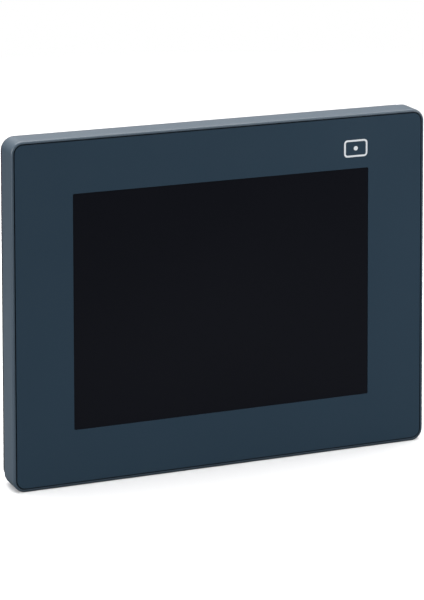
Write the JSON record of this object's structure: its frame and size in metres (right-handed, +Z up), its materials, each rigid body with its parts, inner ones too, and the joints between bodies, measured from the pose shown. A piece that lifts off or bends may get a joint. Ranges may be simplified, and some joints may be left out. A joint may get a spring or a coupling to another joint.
{
  "type": "operator touch panel",
  "caption": "Rectangular touch panel whose thin display module is fixed through a round panel hole by a threaded neck and nut, with a plug-on processor module behind the panel.",
  "frame": {"origin": "on the neck's axis, in the plane where the gasket meets the front of the cabinet panel", "axes": "+X right as the operator sees it, +Y away from the operator through the panel, +Z up"},
  "size_m": [0.163, 0.0566, 0.1294],
  "materials": {
    "anti_rotation_tee": "black plastic",
    "backlight_strip": "white board with lamps",
    "capacitors": "sleeved aluminium cans",
    "screw_steel": "zinc-plated steel",
    "cpu_board": "green solder mask",
    "cpu_chips": "black moulded packages",
    "cpu_shield": "tin-plated sheet",
    "decor_film": "fine matt printed polyester, slate blue",
    "diffuser_sheets": "milky sheet",
    "din_clip": "black plastic",
    "din_clip_spring": "spring steel",
    "display_board": "green solder mask",
    "display_board_parts": "black moulded packages",
    "display_chassis": "galvanised sheet",
    "display_rear_cover": "fine matt moulded texture, dark grey",
    "dust_gasket": "black foam rubber",
    "ethernet_port": "nickel-plated sheet",
    "fixing_neck": "glass-filled plastic, satin",
    "fixing_nut": "glass-filled plastic, satin",
    "front_bezel": "fine matt moulded texture, dark blue-grey",
    "header_pins": "tinned brass",
    "inductors": "dark ferrite",
    "lcd_frame": "thin rolled steel",
    "lcd_glass": "dark polarised glass",
    "lcd_tray": "white moulded plastic",
    "light_guide": "clear acrylic",
    "link_plug": "black plastic",
    "lock_slider": "light grey plastic",
    "lock_washer": "zinc-plated steel",
    "module_back_cover": "fine matt moulded texture, dark grey",
    "module_front_cover": "fine matt moulded texture, dark grey",
    "neck_receptacle": "black plastic",
    "panel_gasket": "black soft rubber",
    "clamp_cage": "plated brass",
    "plug_contacts": "tinned brass",
    "plug_screw": "zinc-plated steel",
    "power_header": "green moulded plastic",
    "power_plug": "green moulded plastic",
    "rating_label": "silver-grey blank label",
    "serial_port": "black plastic",
    "touch_film": "clear hard-coated film over a dark display",
    "touch_glass": "clear float glass",
    "touch_tail": "amber polyimide",
    "usb_a_port": "nickel-plated sheet",
    "usb_mini_b_port": "nickel-plated sheet"
  },
  "bodies": {
    "display_module": {"front_bezel": "front_bezel", "decor_film": "decor_film", "touch_film": "touch_film", "touch_glass": "touch_glass", "touch_tail": "touch_tail", "dust_gasket": "dust_gasket", "lcd_frame": "lcd_frame", "lcd_tray": "lcd_tray", "lcd_glass": "lcd_glass", "diffuser_sheets": "diffuser_sheets", "light_guide": "light_guide", "backlight_strip": "backlight_strip", "display_chassis": "display_chassis", "chassis_screws": "screw_steel", "display_board": "display_board", "display_board_parts": "display_board_parts", "display_rear_cover": "display_rear_cover", "rear_cover_screws": "screw_steel", "fixing_neck": "fixing_neck", "neck_screws": "screw_steel", "neck_receptacle": "neck_receptacle", "panel_gasket": "panel_gasket", "anti_rotation_tee": "anti_rotation_tee"},
    "lock_washer": {"lock_washer": "lock_washer"},
    "fixing_nut": {"fixing_nut": "fixing_nut"},
    "rear_module": {"module_front_cover": "module_front_cover", "module_back_cover": "module_back_cover", "module_screws": "screw_steel", "cpu_board": "cpu_board", "cpu_chips": "cpu_chips", "cpu_shield": "cpu_shield", "capacitors": "capacitors", "inductors": "inductors", "link_plug": "link_plug", "ethernet_port": "ethernet_port", "serial_port": "serial_port", "usb_a_port": "usb_a_port", "usb_mini_b_port": "usb_mini_b_port", "power_header": "power_header", "header_pins": "header_pins", "rating_label": "rating_label"},
    "lock_slider": {"lock_slider": "lock_slider"},
    "din_clip": {"din_clip": "din_clip", "din_clip_spring": "din_clip_spring"},
    "power_plug": {"power_plug": "power_plug", "plug_contacts": "plug_contacts"},
    "clamp_cage_1": {"plug_clamp_cage_1": "clamp_cage"},
    "plug_screw_1": {"plug_screw_1": "plug_screw"},
    "clamp_cage_2": {"plug_clamp_cage_2": "clamp_cage"},
    "plug_screw_2": {"plug_screw_2": "plug_screw"},
    "clamp_cage_3": {"plug_clamp_cage_3": "clamp_cage"},
    "plug_screw_3": {"plug_screw_3": "plug_screw"}
  },
  "joints": [
    {"name": "nut_travel", "type": "slide", "parent": "display_module", "child": "lock_washer", "axis": [0, 1, 0], "range_m": [-0.002, 0.006]},
    {"name": "nut_turn", "type": "hinge", "parent": "lock_washer", "child": "fixing_nut", "pos_m": [0, 0.0065, 0], "axis": [0, 1, 0], "range_deg": [-480, 1440]},
    {"name": "module_pull", "type": "slide", "parent": "display_module", "child": "rear_module", "axis": [0, 1, 0], "range_m": [0, 0.06]},
    {"name": "lock_slide", "type": "slide", "parent": "rear_module", "child": "lock_slider", "axis": [0, 0, -1], "range_m": [0, 0.006]},
    {"name": "din_clip_slide", "type": "slide", "parent": "rear_module", "child": "din_clip", "axis": [0, 0, -1], "range_m": [0, 0.0046], "stiffness_N_per_m": 900, "springref_m": -0.003, "deforming": ["din_clip_spring"]},
    {"name": "plug_pull", "type": "slide", "parent": "rear_module", "child": "power_plug", "axis": [0, 0, -1], "range_m": [0, 0.014]},
    {"name": "clamp_rise_1", "type": "slide", "parent": "power_plug", "child": "clamp_cage_1", "axis": [0, 1, 0], "range_m": [0, 0.002]},
    {"name": "screw_turn_1", "type": "hinge", "parent": "power_plug", "child": "plug_screw_1", "pos_m": [-0.04468, 0.0318, -0.054], "axis": [0, 1, 0], "range_deg": [0, 1440]},
    {"name": "clamp_rise_2", "type": "slide", "parent": "power_plug", "child": "clamp_cage_2", "axis": [0, 1, 0], "range_m": [0, 0.002]},
    {"name": "screw_turn_2", "type": "hinge", "parent": "power_plug", "child": "plug_screw_2", "pos_m": [-0.0396, 0.0318, -0.054], "axis": [0, 1, 0], "range_deg": [0, 1440]},
    {"name": "clamp_rise_3", "type": "slide", "parent": "power_plug", "child": "clamp_cage_3", "axis": [0, 1, 0], "range_m": [0, 0.002]},
    {"name": "screw_turn_3", "type": "hinge", "parent": "power_plug", "child": "plug_screw_3", "pos_m": [-0.03452, 0.0318, -0.054], "axis": [0, 1, 0], "range_deg": [0, 1440]}
  ],
  "couplings": [
    {"joint": "nut_turn", "follows": "nut_travel", "rad_per_m": 4188.8},
    {"joint": "screw_turn_1", "follows": "clamp_rise_1", "rad_per_m": 12566},
    {"joint": "screw_turn_2", "follows": "clamp_rise_2", "rad_per_m": 12566},
    {"joint": "screw_turn_3", "follows": "clamp_rise_3", "rad_per_m": 12566}
  ]
}
